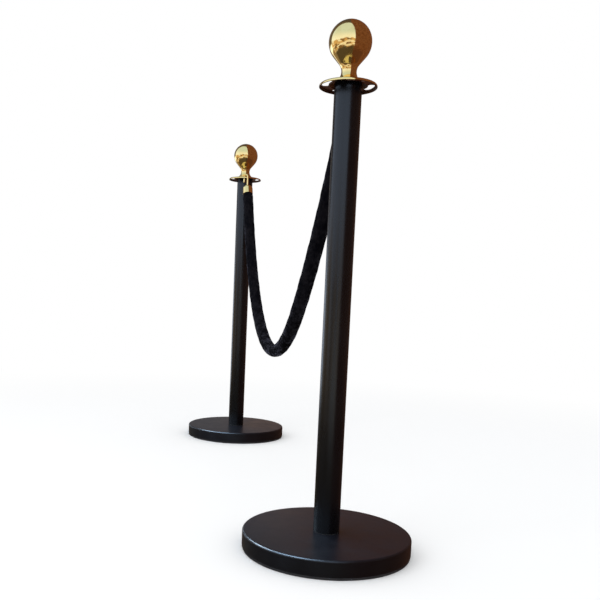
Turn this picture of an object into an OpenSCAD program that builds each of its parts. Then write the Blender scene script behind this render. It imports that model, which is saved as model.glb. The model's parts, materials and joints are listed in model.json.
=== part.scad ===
// Rope barrier: two ball-top posts and the velvet rope that hangs between them.
// Millimetres, +Z up. The origin is on the floor midway between the posts, which stand on the X axis:
// the front post at -X, the rear post at +X. The rear half is the front half turned 180 degrees about Z,
// except that the front hook has slid sideways in its slot and takes the rope's upper length with it.

/* [Layout] */
// Distance between the two post axes
post_spacing = 1137; // [1050:1:1250]
// Height of the floor-facing edge of the collar disc
disc_lip_z = 855; // [800:1:950]

/* [Base] */
// Outside diameter of the base cover
base_d = 320; // [300:1:360]
// Height of the base, floor to top face
base_h = 35; // [32:1:45]
// Rounding of the cover's top edge
base_round = 4; // [3:0.5:6]
// Height of the rubber ring that shows below the cover
ring_h = 5; // [4:0.5:6]
// Sheet thickness of the base cover
cover_wall = 2; // [1.5:0.1:2.5]
// Thickness of the cast iron weight's plate
weight_plate = 12; // [8:1:16]

/* [Post] */
// Outside diameter of the tube
tube_d = 50; // [45:0.5:52]
// Wall thickness of the tube
tube_wall = 1.5; // [1.2:0.1:2]
// Length of the plugs pressed into the tube's ends
plug_len = 30; // [24:1:45]
// Thickness of the gaskets at the tube's ends
gasket_t = 1.2; // [1:0.1:1.5]

/* [Collar disc] */
// Outside diameter of the collar disc
disc_d = 105; // [104.5:0.5:105.5]
// Sheet thickness of the disc
disc_t = 2; // [1.5:0.1:2.2]
// Rounding of the disc's shoulder
disc_round = 4; // [3.5:0.5:4.5]
// Rise from the disc's shoulder to its centre
disc_rise = 4.9; // [4:0.1:5.2]
// Inner and outer radius of the hook slots
slot_r_in = 35.4; // [33:0.1:36]
slot_r_out = 47.6; // [47.5:0.1:47.8]
// Half of the angle between the centres of a slot's round ends
slot_half_angle = 19; // [17:1:24]

/* [Ball finial] */
// Diameter of the ball
ball_d = 77.6; // [70:0.2:84]
// Height of the ball's centre above the disc's centre
ball_rise = 69; // [66:0.5:74]
// Radius of the neck's narrowest point
neck_r = 13.8; // [12:0.1:15]
// Radius of the neck's hollow curve
waist_r = 20; // [18:0.5:21]
// Wall thickness of the ball
ball_wall = 1.8; // [1.5:0.1:2.5]
// Radius of the neck's foot
foot_r = 20.4; // [19:0.1:21]

/* [Hook] */
// Diameter of the hook's rod
rod_d = 6.4; // [6:0.1:6.4]
// Radius of the hook's bend, at the rod's centre
bend_r = 8.2; // [8.2:0.1:8.4]
// Distance from the post axis to the hook's shank, where the rope leads straight to the post
shank_r = 56.3; // [56.2:0.1:56.4]
// Angle between the rear hook's plane and the line to the post axis
hook_twist = 34.6; // [33:0.1:35]
// Length of the hook's tip below its bend
tip_len = 14; // [12:0.5:16]
// Diameter of the small ball on the hook's tip
tip_ball_d = 7; // [6.6:0.1:7]
// Diameter of the swivel ball inside the end cup
swivel_d = 16; // [15.6:0.1:16]

/* [Rope] */
// Diameter of the velvet sleeve
rope_d = 32.4; // [31:0.2:34]
// Diameter of the core inside the sleeve
core_d = 28.8; // [28:0.1:28.8]
// Distance from the post axis to the centre of the end cup's mouth
mouth_r = 70; // [68:0.5:72]
// Height of the centre of the end cup's mouth
mouth_z = 801; // [798:0.5:804]
// Curve constant of the hanging rope: smaller hangs deeper
rope_a = 323.5; // [315:0.5:360]
// Rope length from the lowest point to the lower bending point
lower_len = 120; // [90:5:140]
// Rope length from the lowest point to the upper bending point
middle_len = 280; // [220:5:340]
// How far the front end cup's mouth stands to the side of the line between the posts
front_shift = 16; // [0:0.5:16]

/* [Hidden] */
$fn = 96;
SIDES = ["front", "rear"];
POST_PIECES = [
    "base_ring", "base_weight", "base_cover", "clamp_bolt", "spring_washer",
    "clamp_washer", "foot_gasket", "bottom_plug", "tube", "top_plug",
    "disc_gasket", "hook_disc", "finial_washer", "finial_stud", "ball_finial"
];
ROPE_PIECES = [
    "hook", "swivel_ball", "end_cup",
    "upper_core", "middle_core", "lower_core",
    "upper_sleeve", "middle_sleeve", "lower_sleeve"
];

GOLD = "goldenrod";
BLACK = [0.10, 0.10, 0.11];
RUBBER = [0.18, 0.18, 0.19];
STEEL = "silver";
VELVET = [0.05, 0.05, 0.06];
NYLON = "ivory";

slip = 0.05;                 // radial gap of a fitted pair inside one body
running = 0.08;              // radial gap of the finial's thread
base_r = base_d / 2;
tube_r = tube_d / 2;
bore_r = tube_r - tube_wall;

// Base, from the floor up
skirt_in_r = base_r - cover_wall;
ring_wall_out = skirt_in_r - 0.5;
ring_wall_in = ring_wall_out - 8;
weight_r = ring_wall_in - 0.4;
ring_in_r = weight_r - 11;
weight_top = base_h - cover_wall;
weight_low = weight_top - weight_plate;
foot_z = base_h + gasket_t;

// M12 clamp bolt and its washers
bolt_r = 6;
bolt_head_r = 10.4;
bolt_head_h = 7.5;
washer_t = 2.5;
spring_t = 3;
bolt_reach = 26;             // how far the bolt enters the bottom plug

// Collar disc, as heights of its sheet
disc_r = disc_d / 2;
shoulder_z = disc_lip_z + 1.3;
disc_edge_z = shoulder_z + disc_round;
disc_top_z = disc_edge_z + disc_rise;
disc_flat_r = tube_r + 2;
slot_zone_r = slot_r_in - 2;  // outside this radius the disc is flat, out to its shoulder
slot_end_step = 0.1;          // a slot's round ends are this much narrower than the slot
disc_under_z = disc_top_z - disc_t;
tube_top = disc_under_z - gasket_t;

// M10 finial stud
stud_r = 5;
stud_low = 14;               // how far the stud enters the top plug
finial_gap = 0.3;            // the finial's foot stands this far off the disc, on its washer
washer_r = 12;
finial_washer_t = 1;
ball_r = ball_d / 2;
ball_z = disc_top_z + ball_rise;
foot_h = 2.4;
cone_angle = 39.6;           // slope of the neck's cone, from vertical
finial_z = disc_top_z + finial_gap;
washer_top = disc_top_z + finial_washer_t;

// Hook, in its own vertical plane: the shank at 0, the tip at twice the bend's radius
rod_r = rod_d / 2;
bend_z = disc_edge_z - 2.65; // leaves the bend 0.2 clear of the slot's outer edge
swivel_r = swivel_d / 2;

// End cup, along its own axis from the swivel ball's centre
cup_r = 15.9;
cup_wall = 1.4;
mouth_flare = 0.5;           // the mouth opens inside, so that the core can lean in it
mouth_flare_h = 2.5;
cup_reach = 22.9;            // ball centre to mouth
cup_round = 9.3;
cup_shoulder = -2;
cup_hole_r = 6.4;

// Hanging rope: half of a catenary, u = distance from the middle plane
function cosh(t) = (exp(t) + exp(-t)) / 2;
function sinh(t) = (exp(t) - exp(-t)) / 2;
function asinh(t) = ln(t + sqrt(t * t + 1));
mouth_u = post_spacing / 2 - mouth_r;
low_z = mouth_z - rope_a * (cosh(mouth_u / rope_a) - 1);
half_len = rope_a * sinh(mouth_u / rope_a);
rope_tilt = atan(1 / sinh(mouth_u / rope_a));    // at the mouth, from vertical
middle_u = rope_a * asinh(middle_len / rope_a);
// The rope's centre at arc length s from its lowest point, drawn on the front half. Above the upper
// bending point it curves to the side, to reach its end cup.
function rope_at(side, s) =
    let (
        u = rope_a * asinh(s / rope_a),
        rise = max(0, u - middle_u) / (mouth_u - middle_u)
    )
    [-u, -shift(side) * rise * rise, low_z + rope_a * (cosh(u / rope_a) - 1)];
function shift(side) = side == "front" ? front_shift : 0;

rope_r = rope_d / 2;
core_r = core_d / 2;
sleeve_gap = 0.2;
socket_gap = 0.3;
sleeve_trim = 5;             // bare core on each side of a bending point
middle_gap = 0.25;           // each half stops this far from the middle plane

swivel_z = mouth_z + cup_reach * cos(rope_tilt);
shank_bend_r = 10;           // bend between the shank and the swivel ball
bend_overlap = 2;            // degrees by which a bend runs into the straight rod
leg_run = mouth_r - shank_r - cup_reach * sin(rope_tilt);    // shank to swivel ball, seen from above
leg_len = (leg_run - shank_bend_r * (1 - cos(rope_tilt))) / sin(rope_tilt);

// Seen from above: the way the rope leaves its cup, and the places of swivel ball and shank
function rope_yaw(side) = atan(2 * shift(side) / (mouth_u - middle_u));
function heading(side) = [cos(rope_yaw(side)), sin(rope_yaw(side))];
function swivel_at(side) = [mouth_r, -shift(side)] - cup_reach * sin(rope_tilt) * heading(side);
function shank_at(side) = swivel_at(side) - leg_run * heading(side);
// The front hook lies straight across its disc's edge, the rear one is twisted
function hook_turn(side) =
    let (shank = shank_at(side))
    side == "front" ? atan2(-shank.y, -shank.x) : 180 + hook_twist;

// Points along an arc about centre c, from angle a0 to a1
function arc(c, r, a0, a1, steps) =
    [for (i = [0:steps]) let (a = a0 + (a1 - a0) * i / steps) c + r * [cos(a), sin(a)]];

// Centre of the circle through three points in space
function circle_through(a, b, c) =
    let (u = b - a, v = c - a, w = cross(u, v))
    a + (cross(w, u) * (v * v) + cross(v, w) * (u * u)) / (2 * w * w);
function turn_between(a, b, c) = acos((a - c) * (b - c) / (norm(a - c) * norm(b - c)));

module turned(points) rotate_extrude() polygon(points);

module ring(r_out, r_in, z, h) {
    translate([0, 0, z]) difference() {
        cylinder(r = r_out, h = h);
        translate([0, 0, -1]) cylinder(r = r_in, h = h + 2);
    }
}

// Puts a post piece, drawn about the Z axis, in its place
module post(side) {
    rotate([0, 0, side == "front" ? 0 : 180])
        translate([-post_spacing / 2, 0, 0]) children();
}

// Puts a rope piece, drawn on the front half, in its place
module half(side) {
    rotate([0, 0, side == "front" ? 0 : 180]) children();
}

// ---- Base ----

// Rubber ring: a floor strip with an upright wall between weight and cover
module base_ring() {
    color(RUBBER) turned([
        [ring_in_r, 0],
        [base_r - 1.8, 0],
        [base_r - 0.8, 1],
        [base_r - 0.8, ring_h],
        [ring_wall_out, ring_h],
        [ring_wall_out, ring_h + 5],
        [ring_wall_in, ring_h + 5],
        [ring_wall_in, ring_h],
        [ring_in_r, ring_h]
    ]);
}

// Cast iron weight: a plate on a rim, bored for the clamp bolt
module base_weight() {
    color("dimgray") turned([
        [bolt_r + 0.5, weight_low],
        [ring_in_r, weight_low],
        [ring_in_r + 2, ring_h],
        [weight_r, ring_h],
        [weight_r, weight_top - 3],
        [weight_r - 3, weight_top],
        [bolt_r + 0.5, weight_top]
    ]);
}

// Pressed cover: flat top, rounded edge, straight skirt
module base_cover() {
    edge = [base_r - base_round, base_h - base_round];
    color(BLACK) turned(concat(
        [[bolt_r + 0.5, base_h]],
        arc(edge, base_round, 90, 0, 8),
        [[base_r, ring_h], [skirt_in_r, ring_h]],
        arc(edge, base_round - cover_wall, 0, 90, 8),
        [[bolt_r + 0.5, weight_top]]
    ));
}

module clamp_bolt() {
    head_z = weight_low - washer_t - spring_t - bolt_head_h;
    color(STEEL) {
        translate([0, 0, head_z]) cylinder(r = bolt_head_r, h = bolt_head_h, $fn = 6);
        translate([0, 0, head_z + bolt_head_h - 0.5])
            cylinder(r = bolt_r, h = foot_z + bolt_reach - head_z - bolt_head_h + 0.5);
    }
}

// Split spring washer
module spring_washer() {
    z = weight_low - washer_t - spring_t;
    color(STEEL) difference() {
        ring(10.2, bolt_r + 0.2, z, spring_t);
        translate([0, -0.75, z - 1]) cube([20, 1.5, spring_t + 2]);
    }
}

module clamp_washer() {
    color(STEEL) ring(12, bolt_r + 0.3, weight_low - washer_t, washer_t);
}

// ---- Tube and plugs ----

module foot_gasket() {
    color(RUBBER) ring(tube_r - 0.8, bolt_r + 0.5, base_h, gasket_t);
}

module bottom_plug() {
    color(STEEL) ring(bore_r - slip, bolt_r + slip, foot_z, plug_len);
}

module tube() {
    color(BLACK) ring(tube_r, bore_r, foot_z, tube_top - foot_z);
}

module top_plug() {
    color(STEEL) ring(bore_r - slip, stud_r + running, tube_top - plug_len, plug_len);
}

// ---- Collar disc ----

module disc_gasket() {
    color(RUBBER) ring(tube_r - 0.6, stud_r + 0.5, tube_top, gasket_t);
}

// Kidney-shaped cutter for one hook slot, pointing along +X
module slot_cutter() {
    mid_r = (slot_r_in + slot_r_out) / 2;
    end_r = (slot_r_out - slot_r_in) / 2 - slot_end_step;
    cut_z = disc_lip_z - 1;
    cut_h = disc_top_z - disc_lip_z + 2;
    translate([0, 0, cut_z])
        rotate_extrude(angle = 2 * slot_half_angle, start = -slot_half_angle)
            translate([slot_r_in, 0]) square([slot_r_out - slot_r_in, cut_h]);
    for (a = [-slot_half_angle, slot_half_angle])
        rotate([0, 0, a]) translate([mid_r, 0, cut_z]) cylinder(r = end_r, h = cut_h);
}

// Disc with a raised centre, a turned-down lip and four hook slots
module hook_disc() {
    shoulder = [disc_r - disc_round, shoulder_z];
    lip_in_r = disc_r - disc_t;
    color(GOLD) difference() {
        turned(concat(
            [[stud_r + 0.5, disc_top_z], [disc_flat_r, disc_top_z], [slot_zone_r, disc_edge_z]],
            arc(shoulder, disc_round, 90, 0, 8),
            [[disc_r, disc_lip_z + 0.6], [disc_r - 0.6, disc_lip_z]],
            [[lip_in_r + 0.4, disc_lip_z], [lip_in_r, disc_lip_z + 0.4]],
            arc(shoulder, disc_round - disc_t, 0, 90, 6),
            [[slot_zone_r, disc_edge_z - disc_t]],
            [[disc_flat_r, disc_under_z], [stud_r + 0.5, disc_under_z]]
        ));
        for (a = [0:90:270]) rotate([0, 0, a]) slot_cutter();
    }
}

// ---- Ball finial ----

module finial_washer() {
    color(NYLON) ring(washer_r, stud_r + 0.3, disc_top_z, finial_washer_t);
}

module finial_stud() {
    low = disc_top_z - disc_t - gasket_t - stud_low;
    color(STEEL) translate([0, 0, low]) cylinder(r = stud_r, h = ball_z - ball_r + 3 - low);
}

// Ball, tangent cone and hollow-curved neck, turned as one outline
module ball_finial() {
    // the waist circle touches the vertical at neck_r and the cone's line
    cone_start = [ball_r * cos(cone_angle), ball_z - ball_r * sin(cone_angle)];
    waist_x = neck_r + waist_r;
    waist_z = cone_start.y - (waist_r - (waist_x - cone_start.x) * cos(cone_angle)) / sin(cone_angle);
    waist = [waist_x, waist_z];
    foot_arc = asin((waist_z - finial_z - foot_h) / waist_r);
    cavity_r = ball_r - ball_wall;
    stud_hole_r = stud_r + slip;
    outline = concat(
        [[stud_hole_r, washer_top], [washer_r + 0.5, washer_top]],
        [[washer_r + 0.5, finial_z], [foot_r, finial_z]],
        arc(waist, waist_r, 180 + foot_arc, 180 - cone_angle, 24),
        arc([0, ball_z], ball_r, -cone_angle, 90, 40),
        arc([0, ball_z], cavity_r, 90, -acos(stud_hole_r / cavity_r), 30)
    );
    color(GOLD) turned(outline);
}

// ---- Hook, swivel ball and end cup, drawn with the post axis at the origin ----

// Axis frame of the end cup: the swivel ball's centre, +Z back up towards the hook
module on_cup_axis(side) {
    swivel = swivel_at(side);
    translate([swivel.x, swivel.y, swivel_z]) rotate([0, -rope_tilt, rope_yaw(side)]) children();
}

// A bend in the rod, in the XZ plane about the origin. It is a hair thinner than the straight
// rod and starts just inside it, so that the surfaces meet in a clean edge.
module rod_bend(radius, angle, start) {
    rotate([90, 0, 0])
        rotate_extrude(angle = angle + 2 * bend_overlap, start = start - bend_overlap)
            translate([radius, 0]) circle(r = rod_r - 0.05);
}

module hook(side) {
    shank = shank_at(side);
    shank_low = swivel_z + leg_len * cos(rope_tilt) + shank_bend_r * sin(rope_tilt);
    color(GOLD) translate([shank.x, shank.y, 0]) {
        // the J: shank, bend and tip in one vertical plane
        rotate([0, 0, hook_turn(side)]) {
            translate([0, 0, shank_low]) cylinder(r = rod_r, h = bend_z - shank_low);
            translate([bend_r, 0, bend_z]) rod_bend(bend_r, 180, 0);
            translate([2 * bend_r, 0, bend_z - tip_len]) {
                cylinder(r = rod_r, h = tip_len);
                sphere(d = tip_ball_d);
            }
        }
        // lower bend, turning the shank onto the rope's line
        rotate([0, 0, rope_yaw(side)])
            translate([shank_bend_r, 0, shank_low]) rod_bend(shank_bend_r, rope_tilt, 180);
    }
    color(GOLD) on_cup_axis(side)
        translate([0, 0, swivel_r - 2]) cylinder(r = rod_r, h = leg_len - swivel_r + 2);
}

// Bored to take the end of the hook's leg
module swivel_ball(side) {
    color(STEEL) on_cup_axis(side) difference() {
        sphere(r = swivel_r);
        translate([0, 0, swivel_r - 2]) cylinder(r = rod_r + slip, h = 10);
    }
}

// Bell with a domed shoulder, holed for the hook's leg
module end_cup(side) {
    dome = [cup_r - 0.5 - cup_round, cup_shoulder];
    in_r = cup_r - cup_wall;
    color(GOLD) on_cup_axis(side) turned(concat(
        [[in_r + mouth_flare, -cup_reach], [cup_r, -cup_reach]],
        arc(dome, cup_round, 0, 88, 10),
        [[cup_hole_r, cup_shoulder + cup_round]],
        [[cup_hole_r, cup_shoulder + 7]],
        arc(dome, 7, 85, 0, 8),
        [[cup_r - 2.8, -7], [in_r, -8.5]],
        [[in_r, -cup_reach + mouth_flare_h]]
    ));
}

// ---- Rope, drawn on the front half about the middle plane ----

// Puts a sweep, drawn from +X towards +Y about Z, on the arc from a to b about c
module on_arc(a, b, c) {
    ex = (a - c) / norm(a - c);
    ez = cross(a - c, b - c) / norm(cross(a - c, b - c));
    ey = cross(ez, ex);
    multmatrix([
        [ex.x, ey.x, ez.x, c.x],
        [ex.y, ey.y, ez.y, c.y],
        [ex.z, ey.z, ez.z, c.z],
        [0, 0, 0, 1]
    ]) children();
}

// A round bar along the rope from arc length s0 down to s1, as the arc through its ends and middle
module rope_bar(side, s0, s1, r) {
    a = rope_at(side, s0);
    b = rope_at(side, s1);
    c = circle_through(a, rope_at(side, (s0 + s1) / 2), b);
    on_arc(a, b, c)
        rotate_extrude(angle = turn_between(a, b, c))
            translate([norm(a - c), 0]) circle(r = r);
}

module ball_at(side, s, r) translate(rope_at(side, s)) sphere(r = r);

// A length of sleeve along the bar s0..s1, trimmed by t0 and t1 at its ends
module sleeve(side, s0, s1, t0, t1) {
    a = rope_at(side, s0);
    b = rope_at(side, s1);
    c = circle_through(a, rope_at(side, (s0 + s1) / 2), b);
    bar_r = norm(a - c);
    trim = [t0, t1] / bar_r * 180 / PI;
    color(VELVET) on_arc(a, b, c)
        rotate_extrude(angle = turn_between(a, b, c) - trim.x - trim.y, start = trim.x)
            translate([bar_r, 0]) difference() {
                circle(r = rope_r);
                circle(r = core_r + sleeve_gap);
            }
}

// Round-ended at the cup and at the upper bending point
module upper_core(side) {
    color(VELVET) {
        rope_bar(side, half_len, middle_len, core_r);
        ball_at(side, half_len, core_r - socket_gap);
        ball_at(side, middle_len, core_r - socket_gap);
    }
}

// Socketed at the upper bending point, round-ended at the lower one
module middle_core(side) {
    color(VELVET) {
        difference() {
            rope_bar(side, middle_len, lower_len, core_r);
            ball_at(side, middle_len, core_r + socket_gap);
        }
        ball_at(side, lower_len, core_r - socket_gap);
    }
}

// Socketed at the lower bending point, flat at the middle plane
module lower_core(side) {
    color(VELVET) difference() {
        rope_bar(side, lower_len, middle_gap, core_r);
        ball_at(side, lower_len, core_r + socket_gap);
    }
}

module upper_sleeve(side) sleeve(side, half_len, middle_len, sleeve_trim, sleeve_trim);

module middle_sleeve(side) sleeve(side, middle_len, lower_len, sleeve_trim, sleeve_trim);

module lower_sleeve(side) sleeve(side, lower_len, middle_gap, sleeve_trim, 0);

post("front") base_ring();  // front_base_ring
post("front") base_weight();  // front_base_weight
post("front") base_cover();  // front_base_cover
post("front") clamp_bolt();  // front_clamp_bolt
post("front") spring_washer();  // front_spring_washer
post("front") clamp_washer();  // front_clamp_washer
post("front") foot_gasket();  // front_foot_gasket
post("front") bottom_plug();  // front_bottom_plug
post("front") tube();  // front_tube
post("front") top_plug();  // front_top_plug
post("front") disc_gasket();  // front_disc_gasket
post("front") hook_disc();  // front_hook_disc
post("front") finial_washer();  // front_finial_washer
post("front") finial_stud();  // front_finial_stud
post("front") ball_finial();  // front_ball_finial
post("rear") base_ring();  // rear_base_ring
post("rear") base_weight();  // rear_base_weight
post("rear") base_cover();  // rear_base_cover
post("rear") clamp_bolt();  // rear_clamp_bolt
post("rear") spring_washer();  // rear_spring_washer
post("rear") clamp_washer();  // rear_clamp_washer
post("rear") foot_gasket();  // rear_foot_gasket
post("rear") bottom_plug();  // rear_bottom_plug
post("rear") tube();  // rear_tube
post("rear") top_plug();  // rear_top_plug
post("rear") disc_gasket();  // rear_disc_gasket
post("rear") hook_disc();  // rear_hook_disc
post("rear") finial_washer();  // rear_finial_washer
post("rear") finial_stud();  // rear_finial_stud
post("rear") ball_finial();  // rear_ball_finial
post("front") hook("front");  // front_hook
post("front") swivel_ball("front");  // front_swivel_ball
post("front") end_cup("front");  // front_end_cup
half("front") upper_core("front");  // front_upper_core
half("front") middle_core("front");  // front_middle_core
half("front") lower_core("front");  // front_lower_core
half("front") upper_sleeve("front");  // front_upper_sleeve
half("front") middle_sleeve("front");  // front_middle_sleeve
half("front") lower_sleeve("front");  // front_lower_sleeve
post("rear") hook("rear");  // rear_hook
post("rear") swivel_ball("rear");  // rear_swivel_ball
post("rear") end_cup("rear");  // rear_end_cup
half("rear") upper_core("rear");  // rear_upper_core
half("rear") middle_core("rear");  // rear_middle_core
half("rear") lower_core("rear");  // rear_lower_core
half("rear") upper_sleeve("rear");  // rear_upper_sleeve
half("rear") middle_sleeve("rear");  // rear_middle_sleeve
half("rear") lower_sleeve("rear");  // rear_lower_sleeve
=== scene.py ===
import json
import math

import bmesh
import bpy
import numpy as np
from mathutils import Matrix, Vector


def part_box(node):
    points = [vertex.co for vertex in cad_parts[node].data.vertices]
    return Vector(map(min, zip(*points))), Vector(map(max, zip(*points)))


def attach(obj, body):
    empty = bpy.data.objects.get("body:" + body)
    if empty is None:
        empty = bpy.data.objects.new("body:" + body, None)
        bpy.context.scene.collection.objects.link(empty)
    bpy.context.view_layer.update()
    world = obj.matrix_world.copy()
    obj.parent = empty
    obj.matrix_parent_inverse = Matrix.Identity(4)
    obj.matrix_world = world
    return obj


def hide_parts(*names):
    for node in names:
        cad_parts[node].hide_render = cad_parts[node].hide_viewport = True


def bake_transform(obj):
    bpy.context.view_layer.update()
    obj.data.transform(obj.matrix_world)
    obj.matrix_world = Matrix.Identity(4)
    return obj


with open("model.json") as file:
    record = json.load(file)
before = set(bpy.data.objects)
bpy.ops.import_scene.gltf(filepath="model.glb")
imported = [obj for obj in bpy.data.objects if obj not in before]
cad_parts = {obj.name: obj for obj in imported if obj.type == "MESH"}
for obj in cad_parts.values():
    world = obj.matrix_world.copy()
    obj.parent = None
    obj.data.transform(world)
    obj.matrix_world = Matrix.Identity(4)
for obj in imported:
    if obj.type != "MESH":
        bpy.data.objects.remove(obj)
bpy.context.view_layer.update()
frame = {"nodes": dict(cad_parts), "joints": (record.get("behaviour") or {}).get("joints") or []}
scene = bpy.context.scene
MM = 0.001
SIDES = ("front", "rear")

# ---------------------------------------------------------------- sizes, from the frame

JOINTS = {j["name"]: j for j in frame["joints"]}
tube_low, tube_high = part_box("front_tube")
HALF_SPACING = -(tube_low.x + tube_high.x) / 2 / MM
TUBE_R = (tube_high.x - tube_low.x) / 2 / MM
TUBE_Z0, TUBE_Z1 = tube_low.z / MM, tube_high.z / MM
cover_low, cover_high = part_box("front_base_cover")
BASE_R = (cover_high.x - cover_low.x) / 2 / MM
BASE_H = cover_high.z / MM
RING_H = cover_low.z / MM
disc_low, disc_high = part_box("front_hook_disc")
DISC_R = (disc_high.x - disc_low.x) / 2 / MM
LIP_Z, DISC_Z = disc_low.z / MM, disc_high.z / MM
ball_low, ball_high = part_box("front_ball_finial")
BALL_R = (ball_high.x - ball_low.x) / 2 / MM
BALL_Z = ball_high.z / MM - BALL_R
FINIAL_Z = ball_low.z / MM


def joint_point(name):
    """A joint's place in millimetres; the rear half's are turned onto the front half."""
    x, y, z = JOINTS[name]["pos_m"]
    turn = -1 if name.startswith("rear") else 1
    return np.array((turn * x, turn * y, z)) / MM


SWIVEL = {side: joint_point(side + "_rope_swing") for side in SIDES}
MOUTH = {side: joint_point(side + "_rope_upper_bend") for side in SIDES}
CUP_REACH = float(np.linalg.norm(SWIVEL["rear"] - MOUTH["rear"]))
TILT = math.acos(float((SWIVEL["rear"] - MOUTH["rear"])[2]) / CUP_REACH)

# The hanging rope's curve: the slope at the mouth gives its constant
HALF_U = -float(MOUTH["rear"][0])
ROPE_A = HALF_U / math.asinh(1 / math.tan(TILT))
LOW_Z = float(MOUTH["rear"][2]) - ROPE_A * (math.cosh(HALF_U / ROPE_A) - 1)
HALF_LEN = ROPE_A * math.sinh(HALF_U / ROPE_A)
MIDDLE_U = -float(joint_point("front_rope_middle_bend")[0])


def length_at(name):
    """Rope length from its lowest point to a joint on the front half."""
    return ROPE_A * math.sinh(-joint_point(name)[0] / ROPE_A)


def lead(side):
    """The level direction in which the rope leaves its cup, and the one across it."""
    x, y, _ = MOUTH[side] - SWIVEL[side]
    ahead = np.array((x, y, 0)) / math.hypot(x, y)
    return ahead, np.array((-ahead[1], ahead[0], 0))


MIDDLE_LEN = length_at("front_rope_middle_bend")
LOWER_LEN = length_at("front_rope_lower_bend")

# ---------------------------------------------------------------- other sizes, in millimetres

COVER_BORE_R, COVER_ROUND, COVER_WALL = 7, 4, 2
RING_WIDTH, RING_LIP = 21.9, 5
TUBE_WALL = 1.5
DISC_BORE_R, DISC_ROUND, DISC_WALL = 5.5, 4, 2
RIM_R, RIM_Z = 34, LIP_Z + 5.3
SLOT_IN, SLOT_OUT, SLOT_HALF_ANGLE = 35.4, 47.6, 19
FINIAL_BORE_R, FINIAL_FOOT_R, CONE_ANGLE = 5.05, 20.4, 39.6
RECESS_R, RECESS = 12.5, 0.7
WAIST_R, WAIST_X = 20.0, 33.8
BALL_WALL = 1.8
ROD_R, TIP_R, TIP_LEN = 3.2, 3.5, 14
BEND_R, BEND_Z = 8.2, LIP_Z + 2.65
SHANK_R, LEG_BEND_R, HOOK_TWIST = 56.3, 10.0, 34.6
LEG_RUN = float(SWIVEL["rear"][0]) + HALF_SPACING - SHANK_R
ROPE_R, ROPE_IN_CUP_R = 16.2, 14.2

# ---------------------------------------------------------------- mesh helpers


def arc(cx, cz, r, a0, a1, steps):
    """Points on an arc in a profile, angles in degrees from the outward direction."""
    angles = np.radians(np.linspace(a0, a1, steps + 1))
    return [(cx + r * math.cos(a), cz + r * math.sin(a)) for a in angles]


def rounded(corners, steps=5):
    """A closed outline from (r, z, rounding) corners."""
    out = []
    for i, (x, z, radius) in enumerate(corners):
        p = np.array((x, z), float)
        if radius <= 0:
            out.append((x, z))
            continue
        a = np.array(corners[i - 1][:2], float) - p
        b = np.array(corners[(i + 1) % len(corners)][:2], float) - p
        a /= np.linalg.norm(a)
        b /= np.linalg.norm(b)
        half = math.acos(max(-1.0, min(1.0, float(a @ b)))) / 2
        centre = p + (a + b) / np.linalg.norm(a + b) * radius / math.sin(half)
        start = p + a * radius / math.tan(half) - centre
        end = p + b * radius / math.tan(half) - centre
        a0 = math.atan2(start[1], start[0])
        turn = (math.atan2(end[1], end[0]) - a0 + math.pi) % (2 * math.pi) - math.pi
        for k in range(steps + 1):
            t = a0 + turn * k / steps
            out.append((centre[0] + radius * math.cos(t), centre[1] + radius * math.sin(t)))
    return out


def on_post(side):
    """Map from a post's own millimetres to the frame."""
    def place(p):
        x, y, z = p[0] - HALF_SPACING, p[1], p[2]
        if side == "rear":
            x, y = -x, -y
        return (x * MM, y * MM, z * MM)
    return place


def on_half(side):
    """Map from front-half millimetres to the frame."""
    turn = 1 if side == "front" else -1
    return lambda p: (turn * p[0] * MM, turn * p[1] * MM, p[2] * MM)


def finish_mesh(name, verts, faces, material, smooth=35):
    """A closed piece with smooth shading, sharp past an angle."""
    me = bpy.data.meshes.new(name)
    me.from_pydata(verts, [], faces)
    bm = bmesh.new()
    bm.from_mesh(me)
    bmesh.ops.remove_doubles(bm, verts=bm.verts, dist=1e-7)
    bmesh.ops.recalc_face_normals(bm, faces=bm.faces)
    bm.to_mesh(me)
    bm.free()
    me.shade_smooth()
    me.set_sharp_from_angle(angle=math.radians(smooth))
    me.materials.append(material)
    piece = bpy.data.objects.new(name, me)
    scene.collection.objects.link(piece)
    return piece


def lathe(name, outline, place, material, segments=128):
    """A closed outline of (r, z) turned about its own axis."""
    count = len(outline)
    verts, faces = [], []
    for i in range(segments):
        t = 2 * math.pi * i / segments
        verts += [place((r * math.cos(t), r * math.sin(t), z)) for r, z in outline]
    for i in range(segments):
        a, b = i * count, (i + 1) % segments * count
        for k in range(count):
            m = (k + 1) % count
            if outline[k][0] > 1e-6 or outline[m][0] > 1e-6:
                faces.append((a + k, b + k, b + m, a + m))
    return finish_mesh(name, verts, faces, material)


def carry_frames(path):
    """Two side vectors at each point of a path, carried along without twist."""
    path = np.array(path, float)
    tangent = np.gradient(path, axis=0)
    tangent /= np.linalg.norm(tangent, axis=1)[:, None]
    side = np.cross(tangent[0], (0.3, 1.0, 0.2))
    frames = []
    for t in tangent:
        side = side - t * (side @ t)
        side = side / np.linalg.norm(side)
        frames.append((side, np.cross(t, side)))
    return path, frames


def sweep(name, path, radii, place, material, segments=32):
    """A round rod along a path; its ends close on the axis."""
    path, frames = carry_frames(path)
    verts, faces = [], []
    for p, (u, v), r in zip(path, frames, radii):
        for k in range(segments):
            t = 2 * math.pi * k / segments
            verts.append(place(p + r * (u * math.cos(t) + v * math.sin(t))))
    for i in range(len(path) - 1):
        for k in range(segments):
            m = (k + 1) % segments
            a, b = i * segments, (i + 1) * segments
            faces.append((a + k, a + m, b + m, b + k))
    for start, p in ((0, path[0]), ((len(path) - 1) * segments, path[-1])):
        verts.append(place(p))
        middle = len(verts) - 1
        for k in range(segments):
            faces.append((start + k, middle, start + (k + 1) % segments))
    return finish_mesh(name, verts, faces, material)


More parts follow.
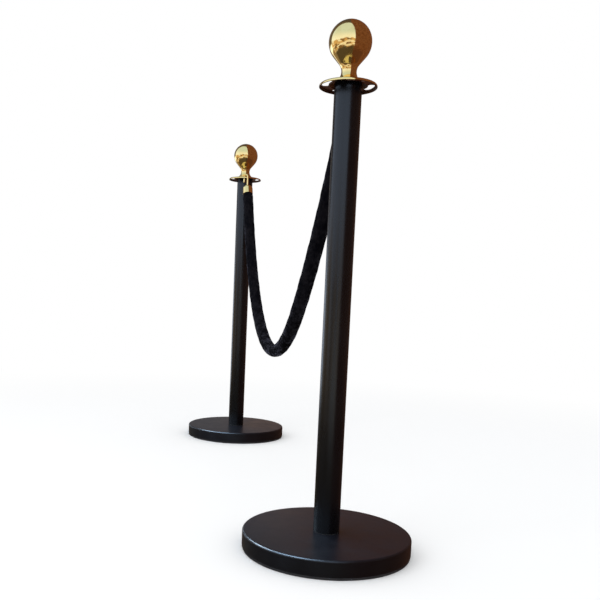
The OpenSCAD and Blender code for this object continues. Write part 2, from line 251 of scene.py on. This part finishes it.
def hang(piece, body, slot, *nodes):
    """Puts a piece on a body in place of the CAD's nodes."""
    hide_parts(*nodes)
    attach(piece, body)


# ---------------------------------------------------------------- materials


class Tree:
    """A node tree, with short calls for adding to it."""

    def __init__(self, tree):
        self.tree = tree

    def set(self, node, inputs):
        for key, value in inputs.items():
            if isinstance(value, bpy.types.NodeSocket):
                self.tree.links.new(value, node.inputs[key])
            else:
                node.inputs[key].default_value = value
        return node

    def node(self, kind, inputs=None, **settings):
        made = self.tree.nodes.new("ShaderNode" + kind)
        for key, value in settings.items():
            setattr(made, key, value)
        return self.set(made, inputs or {})

    def math(self, operation, first, second):
        return self.node("Math", {0: first, 1: second}, operation=operation).outputs[0]

    def dot(self, direction, axis):
        return self.node("VectorMath", {0: direction, 1: axis}, operation="DOT_PRODUCT").outputs["Value"]

    def span(self, value, low, high, start=0.3, end=0.7):
        ends = {"From Min": start, "From Max": end, "To Min": low, "To Max": high}
        return self.node("MapRange", {"Value": value, **ends}).outputs["Result"]

    def step(self, value, low, high):
        ends = {"From Min": low, "From Max": high}
        made = self.node("MapRange", {"Value": value, **ends}, interpolation_type="SMOOTHSTEP")
        return made.outputs["Result"]

    def blend(self, amount, first, second):
        """Colour that goes from the first to the second as the amount goes from 0 to 1."""
        colours = [(*c, 1) if isinstance(c, tuple) else c for c in (first, second)]
        made = self.node("Mix", data_type="RGBA")
        return self.set(made, {0: amount, 6: colours[0], 7: colours[1]}).outputs[2]

    def mixed(self, amount, first, second):
        """Shader that goes from the first to the second as the amount goes from 0 to 1."""
        return self.node("MixShader", {0: amount, 1: first, 2: second}).outputs[0]


class Look(Tree):
    """A material of one principled surface."""

    def __init__(self, name, colour, roughness, metallic=0.0):
        self.material = bpy.data.materials.new(name)
        self.material.use_nodes = True
        super().__init__(self.material.node_tree)
        self.surface = self.tree.nodes["Principled BSDF"]
        self.set(self.surface, {"Base Color": (*colour, 1), "Roughness": roughness, "Metallic": metallic})
        self.coords = self.node("TexCoord").outputs["Object"]

    def noise(self, scale, detail=4.0, stretch=(1, 1, 1), coords=None):
        spread = self.node("Mapping", {"Vector": coords or self.coords, "Scale": stretch})
        made = self.node("TexNoise", {"Vector": spread.outputs[0], "Scale": scale, "Detail": detail})
        return made.outputs["Fac"]

    def bump(self, height, distance, strength=1.0, under=None):
        inputs = {"Height": height, "Distance": distance, "Strength": strength}
        if under is not None:
            inputs["Normal"] = under
        return self.node("Bump", inputs).outputs["Normal"]

    def finish(self, **inputs):
        self.set(self.surface, {key.replace("_", " "): value for key, value in inputs.items()})
        return self.material


# Painted shade: rougher gold darkened to about a tenth of the polished gold, for the disc's underside, the
# inside of its lip and the slot walls.
def dull_gold_painted_shade():
    look = Look("dull_gold_painted_shade", (0.1, 0.045, 0.028), 0.34, 1.0)
    cloud = look.noise(70, 5)
    tint = look.blend(look.span(cloud, 0, 1), (0.075, 0.032, 0.02), (0.15, 0.075, 0.045))
    rough = look.span(look.noise(400), 0.28, 0.42)
    return look.finish(Base_Color=tint, Roughness=rough, Normal=look.bump(cloud, 0.00004, 0.4))


def gold():
    look = Look("polished_gold", (1.0, 0.74, 0.31), 0.06, 1.0)
    smudge = look.noise(38)
    haze = look.noise(420, 6)
    tint = look.blend(look.span(smudge, 0, 1), (1.0, 0.76, 0.33), (0.93, 0.64, 0.24))
    rough = look.math("ADD", look.span(smudge, 0.03, 0.09), look.span(haze, 0.0, 0.05))
    turned = look.noise(60, 3, (1, 1, 14))
    return look.finish(Base_Color=tint, Roughness=rough, Normal=look.bump(turned, 0.00002, 0.35))


def powder_coat(name, dark, light, gloss):
    """Satin black: orange peel, faint dust and handling marks."""
    look = Look(name, dark, gloss)
    cloud = look.noise(9, 5)
    peel = look.noise(1500, 2)
    wipe = look.noise(30, 6, (1, 1, 0.12))
    tint = look.blend(look.span(cloud, 0, 1), dark, light)
    rough = look.math("ADD", look.span(cloud, gloss - 0.02, gloss + 0.04), look.span(wipe, -0.02, 0.05))
    return look.finish(Base_Color=tint, Roughness=rough, Normal=look.bump(peel, 0.00006, 0.5))


def rubber():
    look = Look("rubber", (0.02, 0.02, 0.023), 0.7)
    grain = look.noise(900, 6)
    tint = look.blend(look.span(look.noise(40), 0, 1), (0.017, 0.017, 0.02), (0.032, 0.031, 0.034))
    rough = look.span(grain, 0.62, 0.82)
    return look.finish(Base_Color=tint, Roughness=rough, Normal=look.bump(grain, 0.0001, 0.6))


def metal(name, low, high, roughness, scale, depth, metallic=1.0):
    look = Look(name, low, roughness, metallic)
    grain = look.noise(scale, 6)
    tint = look.blend(look.span(grain, 0, 1), low, high)
    rough = look.span(look.noise(scale / 6), roughness - 0.07, roughness + 0.08)
    return look.finish(Base_Color=tint, Roughness=rough, Normal=look.bump(grain, depth, 0.6))


def velvet():
    """Short dense pile: dark face on, brighter at a glancing angle, brushed into patches."""
    look = Look("black_velvet", (0.004, 0.004, 0.007), 0.85)
    along = look.node("Attribute", attribute_name="along").outputs["Fac"]
    round_x = look.node("Attribute", attribute_name="round_x").outputs["Fac"]
    round_y = look.node("Attribute", attribute_name="round_y").outputs["Fac"]
    where = look.node("CombineXYZ", {0: round_x, 1: round_y, 2: along}).outputs[0]
    brushed = look.noise(46, 5, (1, 1, 0.6), where)
    patches = look.noise(150, 4, (1, 1, 0.8), where)
    pile = look.noise(2600, 2, (1, 1, 1), where)
    lie = look.math("MULTIPLY", look.math("ADD", brushed, patches), 0.5)
    tint = look.blend(look.span(lie, 0, 1, 0.38, 0.62), (0.0010, 0.0010, 0.0026), (0.006, 0.0052, 0.0066))
    sheen = look.span(lie, 0.0, 0.2, 0.47, 0.62)
    nap = look.bump(lie, 0.0012, 0.5)
    normal = look.bump(pile, 0.0005, 0.7, nap)
    return look.finish(
        Base_Color=tint, Sheen_Weight=sheen, Sheen_Roughness=0.35, Sheen_Tint=(0.62, 0.64, 0.95, 1),
        Specular_IOR_Level=0.05, Normal=normal,
    )


def nylon():
    look = Look("nylon", (0.75, 0.73, 0.66), 0.5)
    grain = look.noise(500, 4)
    tint = look.blend(look.span(grain, 0, 1), (0.72, 0.70, 0.62), (0.80, 0.78, 0.71))
    return look.finish(Base_Color=tint, Normal=look.bump(grain, 0.00005, 0.4))


GOLD = gold()
# painted shade for the disc's underside, lip inside and slot walls
DULL_GOLD_PAINTED_SHADE = dull_gold_painted_shade()
TUBE_COAT = powder_coat("tube_powder_coat", (0.0009, 0.0010, 0.0018), (0.0018, 0.0020, 0.0032), 0.24)
BASE_COAT = powder_coat("base_powder_coat", (0.0011, 0.0012, 0.0022), (0.0024, 0.0024, 0.0036), 0.3)
RUBBER = rubber()
STEEL = metal("zinc_steel", (0.50, 0.50, 0.52), (0.66, 0.66, 0.67), 0.3, 600, 0.00002)
IRON = metal("cast_iron", (0.05, 0.05, 0.052), (0.11, 0.105, 0.10), 0.65, 500, 0.0004, 0.6)
NYLON = nylon()
VELVET = velvet()

# ---------------------------------------------------------------- posts


def kidney(r_in, r_out, half_angle):
    """Outline of a curved slot with round ends, pointing along +X."""
    mid, end = (r_in + r_out) / 2, (r_out - r_in) / 2
    points = arc(0, 0, r_out, -half_angle, half_angle, 21)
    for angle, first in ((half_angle, 0), (-half_angle, 180)):
        a = math.radians(angle)
        cx, cy = mid * math.cos(a), mid * math.sin(a)
        points += arc(cx, cy, end, angle + first, angle + first + 180, 14)[1:-1]
        if angle > 0:
            points += arc(0, 0, r_in, angle, -angle, 21)
    return points


def cut_slots(disc, place):
    """Cuts the four hook slots."""
    outline = kidney(SLOT_IN, SLOT_OUT, SLOT_HALF_ANGLE)
    count = len(outline)
    verts, faces = [], []
    for turn in (0, 90, 180, 270):
        c, s = math.cos(math.radians(turn)), math.sin(math.radians(turn))
        base = len(verts)
        for z in (LIP_Z - 2, DISC_Z + 2):
            verts += [place((x * c - y * s, x * s + y * c, z)) for x, y in outline]
        faces.append([base + k for k in range(count)])
        faces.append([base + count + k for k in range(count)])
        for k in range(count):
            m = (k + 1) % count
            faces.append((base + k, base + m, base + count + m, base + count + k))
    cutter = finish_mesh("slot_cutter", verts, faces, GOLD)
    cut = disc.modifiers.new("slots", "BOOLEAN")
    cut.object, cut.operation, cut.solver = cutter, "DIFFERENCE", "EXACT"
    bpy.context.view_layer.update()
    made = bpy.data.meshes.new_from_object(disc.evaluated_get(bpy.context.evaluated_depsgraph_get()))
    disc.modifiers.clear()
    disc.data = made
    bpy.data.objects.remove(cutter)
    made.shade_smooth()
    made.set_sharp_from_angle(angle=math.radians(35))


def paint_shade_inside(disc, place):
    """The disc's underside, the inside of its lip and the slots' cut edges get a rougher gold whose colour
    is darkened to about a tenth: painted shade under the disc and in its slots.
    """
    disc.data.materials.append(DULL_GOLD_PAINTED_SHADE)
    centre = Vector(place((0, 0, 0)))
    for face in disc.data.polygons:
        out = Vector((face.center.x - centre.x, face.center.y - centre.y, 0))
        inward = face.normal.dot(out.normalized()) < -0.3 and out.length > (SLOT_OUT + 1.4) * MM
        beside_slot = (SLOT_IN - 1.4) * MM < out.length < (SLOT_OUT + 0.6) * MM
        slot_wall = abs(face.normal.z) < 0.2 and beside_slot
        if face.normal.z < -0.25 or inward or slot_wall:
            face.material_index = 1


def cover_outline():
    corner = (BASE_R - COVER_ROUND, BASE_H - COVER_ROUND)
    inside_r = BASE_R - COVER_WALL
    outline = [(COVER_BORE_R, BASE_H)] + arc(*corner, COVER_ROUND, 90, 0, 16)
    outline += [(BASE_R, RING_H + 0.4), (BASE_R - 0.4, RING_H)]
    outline += [(inside_r + 0.4, RING_H), (inside_r, RING_H + 0.4)]
    outline += arc(*corner, COVER_ROUND - COVER_WALL, 0, 90, 10) + [(COVER_BORE_R, BASE_H - COVER_WALL)]
    return outline


def floor_ring_outline():
    outer_r, wall_r = BASE_R - 2.5, BASE_R - 10.5
    inner_r = BASE_R - RING_WIDTH
    return rounded([
        (inner_r, 0, 0.5), (BASE_R - 1.4, 0, 1.0), (BASE_R - 0.8, RING_H, 0), (outer_r, RING_H, 0),
        (outer_r, RING_H + RING_LIP, 0.3), (wall_r, RING_H + RING_LIP, 0.3), (wall_r, RING_H, 0),
        (inner_r, RING_H, 0.5),
    ])


def tube_outline():
    bore_r = TUBE_R - TUBE_WALL
    return rounded([
        (TUBE_R, TUBE_Z0, 0.5), (TUBE_R, TUBE_Z1, 0.5), (bore_r, TUBE_Z1, 0.3), (bore_r, TUBE_Z0, 0.3),
    ])


def disc_outline():
    """A flat rim with a turned-down lip, raised to a flat boss in the middle."""
    corner = (DISC_R - DISC_ROUND, RIM_Z - DISC_ROUND)
    boss_under, rim_under = DISC_Z - DISC_WALL, RIM_Z - DISC_WALL
    outline = [(DISC_BORE_R, DISC_Z), (TUBE_R + 1.6, DISC_Z), (TUBE_R + 2.6, DISC_Z - 0.15)]
    outline += [(RIM_R - 0.8, RIM_Z), (RIM_R, RIM_Z)] + arc(*corner, DISC_ROUND, 90, 0, 14)
    outline += arc(DISC_R - 0.8, LIP_Z + 0.8, 0.8, 0, -90, 4)
    outline += arc(DISC_R - 1.2, LIP_Z + 0.8, 0.8, -90, -180, 4)
    outline += arc(*corner, DISC_ROUND - DISC_WALL, 0, 90, 10)
    outline += [(RIM_R, rim_under), (RIM_R - 0.8, rim_under)]
    outline += [(TUBE_R + 2, boss_under), (DISC_BORE_R, boss_under)]
    return outline


def ball_outline():
    """A ball on a straight cone that curves out again to a foot."""
    cone = math.radians(CONE_ANGLE)
    cone_r, cone_z = BALL_R * math.cos(cone), BALL_Z - BALL_R * math.sin(cone)
    waist_z = cone_z - (WAIST_R - (WAIST_X - cone_r) * math.cos(cone)) / math.sin(cone)
    foot = math.degrees(math.asin((waist_z - FINIAL_Z - 2.4) / WAIST_R))
    hollow_r = BALL_R - BALL_WALL
    bore_angle = -math.degrees(math.acos(FINIAL_BORE_R / hollow_r))
    outline = [(FINIAL_BORE_R, FINIAL_Z + RECESS), (RECESS_R, FINIAL_Z + RECESS), (RECESS_R, FINIAL_Z)]
    outline += [(FINIAL_FOOT_R - 0.4, FINIAL_Z), (FINIAL_FOOT_R, FINIAL_Z + 0.4)]
    outline += arc(WAIST_X, waist_z, WAIST_R, 180 + foot, 180 - CONE_ANGLE, 40)
    outline += arc(0, BALL_Z, BALL_R, -CONE_ANGLE, 90, 80)[:-1]
    outline += [(0, BALL_Z + BALL_R), (0, BALL_Z + hollow_r)]
    outline += arc(0, BALL_Z, hollow_r, 90, bore_angle, 30)[1:]
    return outline


def build_post(side):
    place = on_post(side)
    body = side + "_post"
    cover = lathe(side + "_cover", cover_outline(), place, BASE_COAT, 192)
    hang(cover, body, "base_coat", side + "_base_cover")
    floor_ring = lathe(side + "_floor_ring", floor_ring_outline(), place, RUBBER, 192)
    hang(floor_ring, body, "rubber", side + "_base_ring")
    tube = lathe(side + "_tube_skin", tube_outline(), place, TUBE_COAT)
    hang(tube, body, "tube_coat", side + "_tube")
    disc = lathe(side + "_disc", disc_outline(), place, GOLD, 192)
    cut_slots(disc, place)
    paint_shade_inside(disc, place)
    hang(disc, body, "gold", side + "_hook_disc")
    ball = lathe(side + "_ball", ball_outline(), place, GOLD, 160)
    hang(ball, side + "_finial", "gold", side + "_ball_finial")


# ---------------------------------------------------------------- hooks and cups


def hook_away(side, shank):
    """The level direction from a hook's shank to its tip."""
    if side == "front":
        away = np.array((-HALF_SPACING, 0, 0)) - shank
        return away / np.linalg.norm(away)
    twist = math.radians(180 + HOOK_TWIST)
    return np.array((math.cos(twist), math.sin(twist), 0))


def hook_path(side):
    """The hook's centre line from the ball on its tip to the swivel, with the radius at each point."""
    ahead, _ = lead(side)
    swivel = SWIVEL[side]
    shank = np.array((swivel[0], swivel[1], 0)) - ahead * LEG_RUN
    away = hook_away(side, shank)
    up = np.array((0, 0, math.cos(TILT))) - ahead * math.sin(TILT)
    leg = (LEG_RUN - LEG_BEND_R * (1 - math.cos(TILT))) / math.sin(TILT)
    shank_low = swivel[2] + leg * math.cos(TILT) + LEG_BEND_R * math.sin(TILT)
    tip_z = BEND_Z - TIP_LEN
    path, radii = [], []

    def add(point, radius=ROD_R):
        path.append(np.array(point, float))
        radii.append(radius)

    meet = math.sqrt(TIP_R * TIP_R - ROD_R * ROD_R)
    for d in np.linspace(-TIP_R, meet, 14):
        radius = math.sqrt(max(0, TIP_R * TIP_R - d * d))
        add(shank + away * 2 * BEND_R + (0, 0, tip_z + d), max(0.05, radius))
    for z in np.linspace(tip_z + meet, BEND_Z, 8)[1:]:
        add(shank + away * 2 * BEND_R + (0, 0, z))
    for t in np.linspace(0, math.pi, 30)[1:]:
        add(shank + away * (BEND_R + BEND_R * math.cos(t)) + (0, 0, BEND_Z + BEND_R * math.sin(t)))
    for z in np.linspace(BEND_Z, shank_low, 12)[1:]:
        add(shank + (0, 0, z))
    for t in np.linspace(0, TILT, 10)[1:]:
        sideways, drop = LEG_BEND_R * (1 - math.cos(t)), LEG_BEND_R * math.sin(t)
        add(shank + ahead * sideways + (0, 0, shank_low - drop))
    end = path[-1]
    for d in np.linspace(0, leg - 6, 5)[1:]:
        add(end - up * d)
    return path, radii


def cup_outline():
    """A bell about the swivel's centre, its mouth down, with a rolled edge."""
    outline = arc(14.95, -CUP_REACH + 0.35, 0.35, 180, 270, 3)
    outline += arc(15.5, -CUP_REACH + 0.4, 0.4, 270, 360, 4)
    shoulder = arc(6.1, -2, 9.3, 0, 86, 18)
    outline += [(r + 0.5, z) for r, z in shoulder[:2]] + shoulder[2:]
    outline += [(6.6, 7.25), (6.4, 6.9), (6.4, 5.3)] + arc(6.1, -2, 7, 85, 0, 12)
    outline += [(13.1, -7), (14.5, -8.5), (14.5, -CUP_REACH + 2.5)]
    return outline


def build_hook(side):
    place = on_half(side)
    ahead, across = lead(side)
    path, radii = hook_path(side)
    hang(sweep(side + "_hook_rod", path, radii, place, GOLD), side + "_hook", "gold", side + "_hook")

    def on_cup(p):
        out = p[0] * math.cos(TILT) - p[2] * math.sin(TILT)
        rise = p[0] * math.sin(TILT) + p[2] * math.cos(TILT)
        return place(SWIVEL[side] + ahead * out + across * p[1] + (0, 0, rise))

    cup = lathe(side + "_cup_bell", cup_outline(), on_cup, GOLD, 128)
    hang(cup, side + "_cup", "gold", side + "_end_cup")


# ---------------------------------------------------------------- rope


def rope_radius(s):
    """Narrow inside the cup, a soft swell below it, then even."""
    below = HALF_LEN - s
    ease = min(1.0, max(0.0, (below - 0.5) / 8.0))
    ease = ease * ease * (3 - 2 * ease)
    swell = 0.35 * math.exp(-((below - 16) / 9) ** 2)
    return ROPE_IN_CUP_R + (ROPE_R - ROPE_IN_CUP_R) * ease + swell


def rope_unevenness(s, t):
    """How far the pile stands out at length s and angle t round the rope; nothing at its two ends."""
    fade = min(1.0, max(0.0, (HALF_LEN - s) / 20)) * min(1.0, max(0.0, s / 20))
    waves = 0.22 * math.sin(s * 0.145 + 2 * t) + 0.16 * math.sin(s * 0.083 - 3 * t + 1.3)
    return fade * (waves + 0.12 * math.sin(s * 0.31 + t))


def rope_centre(side, s):
    """Centre of the rope at length s from its lowest point. Near its cup it curves to the side."""
    if s < 0:
        return np.array((-s, 0, LOW_Z))
    if s > HALF_LEN:
        return MOUTH[side] + (SWIVEL[side] - MOUTH[side]) * (s - HALF_LEN) / CUP_REACH
    u = ROPE_A * math.asinh(s / ROPE_A)
    rise = max(0, u - MIDDLE_U) / (HALF_U - MIDDLE_U)
    return np.array((-u, MOUTH[side][1] * rise * rise, LOW_Z + ROPE_A * (math.cosh(u / ROPE_A) - 1)))


def rope_sides(side, s):
    """The rope's upward and sideways directions at length s."""
    ahead = rope_centre(side, s + 1) - rope_centre(side, s - 1)
    ahead /= np.linalg.norm(ahead)
    across = np.array((0.0, 1.0, 0.0))
    across -= ahead * (across @ ahead)
    across /= np.linalg.norm(across)
    return np.cross(ahead, across), across


def rope_piece(name, side, s0, s1, stub=0.0):
    """A length of rope from s0 down to s1, its surface slightly uneven, with an inner stub past s1."""
    segments, step, stub_inset = 56, 3.0, 0.9
    place = on_half(side)
    count = max(4, int(round((s0 - s1) / step)))
    stations = [(s, 0.0) for s in np.linspace(s0, s1, count + 1)]
    if stub:
        stations += [(s1, stub_inset), (s1 - stub, stub_inset)]
    verts, faces, normals, along, ring_x, ring_y = [], [], [], [], [], []
    for s, inset in stations:
        centre = rope_centre(side, s)
        upward, across = rope_sides(side, s)
        for k in range(segments):
            t = 2 * math.pi * k / segments
            r = rope_radius(s) + rope_unevenness(s, t) - inset
            out = upward * math.cos(t) + across * math.sin(t)
            verts.append(place(centre + r * out))
            normals.append(Vector(place(out)).normalized())
            along.append(s * MM)
            ring_x.append(math.cos(t) * ROPE_R * MM)
            ring_y.append(math.sin(t) * ROPE_R * MM)
    rows = len(stations)
    for i in range(rows - 1):
        for k in range(segments):
            m, here, after = (k + 1) % segments, i * segments, (i + 1) * segments
            faces.append((here + k, here + m, after + m, after + k))
    faces.append(list(range(segments))[::-1])
    faces.append([(rows - 1) * segments + k for k in range(segments)])
    me = bpy.data.meshes.new(name)
    me.from_pydata(verts, [], faces)
    bm = bmesh.new()
    bm.from_mesh(me)
    bmesh.ops.recalc_face_normals(bm, faces=bm.faces)
    bm.to_mesh(me)
    bm.free()
    me.shade_smooth()
    me.normals_split_custom_set_from_vertices(normals)
    for key, values in (("along", along), ("round_x", ring_x), ("round_y", ring_y)):
        me.attributes.new(key, "FLOAT", "POINT").data.foreach_set("value", values)
    me.materials.append(VELVET)
    piece = bpy.data.objects.new(name, me)
    scene.collection.objects.link(piece)
    return piece


def rope_point(side, s):
    return on_half(side)(rope_centre(side, s))


def build_rope(side):
    upper_end, middle_end = (HALF_LEN + MIDDLE_LEN) / 2, (MIDDLE_LEN + LOWER_LEN) / 2
    # each length's start and end, the body above it, and where the bend to that body starts and ends
    lengths = (
        ("upper", HALF_LEN + 12, upper_end, "_cup", HALF_LEN, HALF_LEN - 70),
        ("middle", upper_end, middle_end, "_rope_upper", MIDDLE_LEN + 60, MIDDLE_LEN - 60),
        ("lower", middle_end, 0, "_rope_middle", LOWER_LEN + 55, LOWER_LEN - 55),
    )
    for length, start, end, above, bend_start, bend_end in lengths:
        stub = 14 if (side, length) == ("front", "lower") else 0
        piece = rope_piece(f"{side}_rope_{length}_skin", side, start, end, stub)
        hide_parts(f"{side}_{length}_sleeve", f"{side}_{length}_core")
        bend = [rope_point(side, s) for s in (bend_start, bend_end)]
        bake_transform(piece)


for side in SIDES:
    build_post(side)
    build_hook(side)
    build_rope(side)

LEFT_AS_MADE = {
    "base_weight": IRON, "clamp_bolt": STEEL, "spring_washer": STEEL, "clamp_washer": STEEL,
    "foot_gasket": RUBBER, "bottom_plug": STEEL, "top_plug": STEEL, "disc_gasket": RUBBER,
    "finial_washer": NYLON, "finial_stud": STEEL, "swivel_ball": STEEL,
}
for side in SIDES:
    for piece, material in LEFT_AS_MADE.items():
        node = frame["nodes"][side + "_" + piece]
        node.data.materials.clear()
        node.data.materials.append(material)

# ---------------------------------------------------------------- camera

CAMERA_AT = Vector((-1.88100, 0.39157, 0.47510))
heading, pitch, roll = (math.radians(angle) for angle in (100.558, -5.221, 2.299))
forward = Vector((math.sin(heading) * math.cos(pitch), math.cos(heading) * math.cos(pitch), math.sin(pitch)))
level = forward.cross(Vector((0, 0, 1))).normalized()
rise = level.cross(forward)
right = level * math.cos(roll) + rise * math.sin(roll)
top = rise * math.cos(roll) - level * math.sin(roll)
camera = bpy.data.objects.new("camera", bpy.data.cameras.new("camera"))
turned = Matrix((right, top, -forward)).transposed()
camera.matrix_world = Matrix.Translation(CAMERA_AT) @ turned.to_4x4()
camera.data.sensor_width = 36
camera.data.lens = 43.987
camera.data.shift_x, camera.data.shift_y = 0.07174, 0.10497
camera.data.clip_start, camera.data.clip_end = 0.02, 200
scene.collection.objects.link(camera)
scene.camera = camera

# ---------------------------------------------------------------- studio

scene.view_settings.view_transform = "Standard"


FLAT_RIGHT = Vector((level.x, level.y, 0)).normalized()
FLAT_BACK = Vector((-forward.x, -forward.y, 0)).normalized()
WALL_EDGE = 109


def level_axis(azimuth):
    """A level direction about the camera: 0 behind it, 90 at its right."""
    a = math.radians(azimuth)
    return FLAT_BACK * math.cos(a) + FLAT_RIGHT * math.sin(a)


def mirrored_surrounding(sky):
    """What polished surfaces see: a pale sky over mixed shapes on the open side, a warm wall at the right,
    and beyond the object a window and a dim room."""
    direction = sky.node("TexCoord").outputs["Generated"]
    height = sky.node("SeparateXYZ", {0: direction}).outputs[2]

    def side_of(azimuth):
        """1 within a quarter turn of an azimuth, 0 elsewhere."""
        return sky.step(sky.dot(direction, level_axis(azimuth)), -0.015, 0.015)

    def ripple(scale, stretch=(1, 1, 1), shift=0.0):
        placed = {"Vector": direction, "Scale": stretch, "Location": (shift, shift, shift)}
        space = sky.node("Mapping", placed).outputs[0]
        return sky.node("TexNoise", {"Vector": space, "Scale": scale, "Detail": 2.0}).outputs["Fac"]

    def lifted(amount, value):
        """The height, moved up and down by a ripple."""
        centred = sky.math("SUBTRACT", value, 0.5)
        return sky.math("ADD", height, sky.math("MULTIPLY", centred, amount))

    grain = sky.step(ripple(3.2, (1.6, 1.6, 9)), 0.36, 0.64)
    wall = sky.blend(grain, (0.12, 0.046, 0.022), (0.20, 0.088, 0.05))

    ground = sky.blend(sky.step(ripple(4), 0.4, 0.6), (0.07, 0.056, 0.042), (0.12, 0.1, 0.075))
    patches = sky.step(ripple(2.4, (1, 1, 1.8), 3.1), 0.45, 0.52)
    things = sky.blend(patches, (0.22, 0.14, 0.065), (0.66, 0.47, 0.26))
    lights = sky.step(ripple(1.9, (1, 1, 2.6), 7.7), 0.52, 0.57)
    things = sky.blend(lights, things, (0.95, 1.0, 1.05))
    pale = sky.blend(sky.step(height, 0.15, 0.75), (1.0, 1.18, 1.5), (0.66, 0.9, 1.2))
    low_part = sky.blend(sky.step(lifted(0.5, ripple(3.0, shift=1.3)), -0.62, -0.5), ground, things)
    open_side = sky.blend(sky.step(lifted(0.35, ripple(2.2, shift=5.2)), 0.09, 0.12), low_part, pale)

    window = sky.blend(sky.step(height, 0.02, 0.14), (1.5, 1.75, 2.1), (0.12, 0.1, 0.08))
    window = sky.blend(sky.step(height, -0.24, -0.12), (0.3, 0.24, 0.16), window)
    room = sky.blend(sky.step(height, 0.4, 0.6), (0.22, 0.2, 0.2), (0.08, 0.07, 0.065))
    low_wall = sky.blend(sky.step(height, 0.2, 0.27), (0.37, 0.235, 0.18), room)
    room = sky.blend(side_of(91), room, low_wall)
    behind = sky.blend(side_of(-64), room, window)

    seen = sky.blend(side_of(-34), behind, open_side)
    seen = sky.blend(sky.math("MULTIPLY", side_of(WALL_EDGE), side_of(86)), seen, wall)

    # seen twice reflected, from below: the inside of the discs' lips stays dark
    depth = sky.node("LightPath").outputs["Glossy Depth"]
    shaded = sky.math("MULTIPLY", sky.math("GREATER_THAN", depth, 1.5), sky.math("LESS_THAN", height, 0.12))
    return sky.blend(shaded, seen, (0.05, 0.035, 0.028))


def build_world():
    """White to the eye and to soft light, and a made-up surrounding to polished surfaces."""
    world = bpy.data.worlds.new("studio")
    world.use_nodes = True
    scene.world = world
    sky = Tree(world.node_tree)
    sky.tree.nodes.clear()
    even = sky.node("Background", {"Color": (0.98, 0.99, 1.0, 1), "Strength": 0.95}).outputs[0]
    mirror = sky.node("Background", {"Color": mirrored_surrounding(sky), "Strength": 1.0}).outputs[0]
    white = sky.node("Background", {"Color": (1, 1, 1, 1), "Strength": 1.0}).outputs[0]
    rays = sky.node("LightPath")
    lit = sky.mixed(rays.outputs["Is Glossy Ray"], even, mirror)
    sky.node("OutputWorld", {"Surface": sky.mixed(rays.outputs["Is Camera Ray"], lit, white)})


def floor_material():
    """Matt near the object and shining white further out; polished surfaces see it dark, and only nearby."""
    material = bpy.data.materials.new("pale_floor")
    material.use_nodes = True
    ground = Tree(material.node_tree)
    ground.tree.nodes.clear()
    place = ground.node("TexCoord").outputs["Object"]
    distance = ground.node("VectorMath", {0: place}, operation="LENGTH").outputs["Value"]
    matt = ground.node("BsdfDiffuse", {"Color": (0.93, 0.93, 0.93, 1)}).outputs[0]
    glow = ground.node("Emission", {"Color": (1, 1, 1, 1)}).outputs[0]
    near = ground.mixed(ground.step(distance, 0.9, 2.6), matt, glow)

    incoming = ground.node("NewGeometry").outputs["Incoming"]
    wall_side = ground.span(ground.dot(incoming, -level_axis(WALL_EDGE)), 0, 1, -0.015, 0.015)
    tone = ground.blend(wall_side, (0.085, 0.07, 0.048), (0.10, 0.042, 0.025))
    dark = ground.node("Emission", {"Color": tone}).outputs[0]
    nothing = ground.node("BsdfTransparent").outputs[0]
    mirrored = ground.mixed(ground.step(distance, 1.2, 1.9), dark, nothing)
    glossy = ground.node("LightPath").outputs["Is Glossy Ray"]
    ground.node("OutputMaterial", {"Surface": ground.mixed(glossy, near, mirrored)})
    return material


def build_floor():
    bm = bmesh.new()
    bmesh.ops.create_circle(bm, cap_ends=True, segments=96, radius=60)
    me = bpy.data.meshes.new("floor")
    bm.to_mesh(me)
    bm.free()
    me.materials.append(floor_material())
    floor = bpy.data.objects.new("floor", me)
    scene.collection.objects.link(floor)


def softbox(name, place, target, size, energy, colour, lit=None):
    """A soft lamp. With a list of pieces, it lights only those, and they mirror it."""
    data = bpy.data.lights.new(name, "AREA")
    data.shape, data.size, data.size_y = "RECTANGLE", size[0], size[1]
    data.energy, data.color = energy, colour
    lamp = bpy.data.objects.new(name, data)
    lamp.location = place
    lamp.rotation_mode = "QUATERNION"
    lamp.rotation_quaternion = (Vector(target) - Vector(place)).to_track_quat("-Z", "Y")
    lamp.visible_glossy = lit is not None
    lamp.visible_camera = False
    scene.collection.objects.link(lamp)
    if lit:
        group = bpy.data.collections.new(name + "_lit")
        for piece in lit:
            group.objects.link(bpy.data.objects[piece])
        lamp.light_linking.receiver_collection = group


build_world()
build_floor()
softbox("soft_top", (-0.6, 0.3, 3.2), (0, 0, 0.3), (2.6, 2.6), 14, (1, 1, 1))
softbox("soft_left", (-1.6, 2.4, 1.8), (0, 0, 0.5), (1.8, 1.8), 16, (0.93, 0.97, 1))
covers = [side + "_cover" for side in SIDES]
softbox("cool_edge", (-0.7, 1.5, 2.8), (-0.5, 0, 0), (2.2, 1.2), 210, (0.5, 0.72, 1), covers)
softbox("cool_rim", (0.9, 1.3, 1.7), (-0.5, 0.1, 0), (1.4, 0.7), 80, (0.62, 0.8, 1), covers)
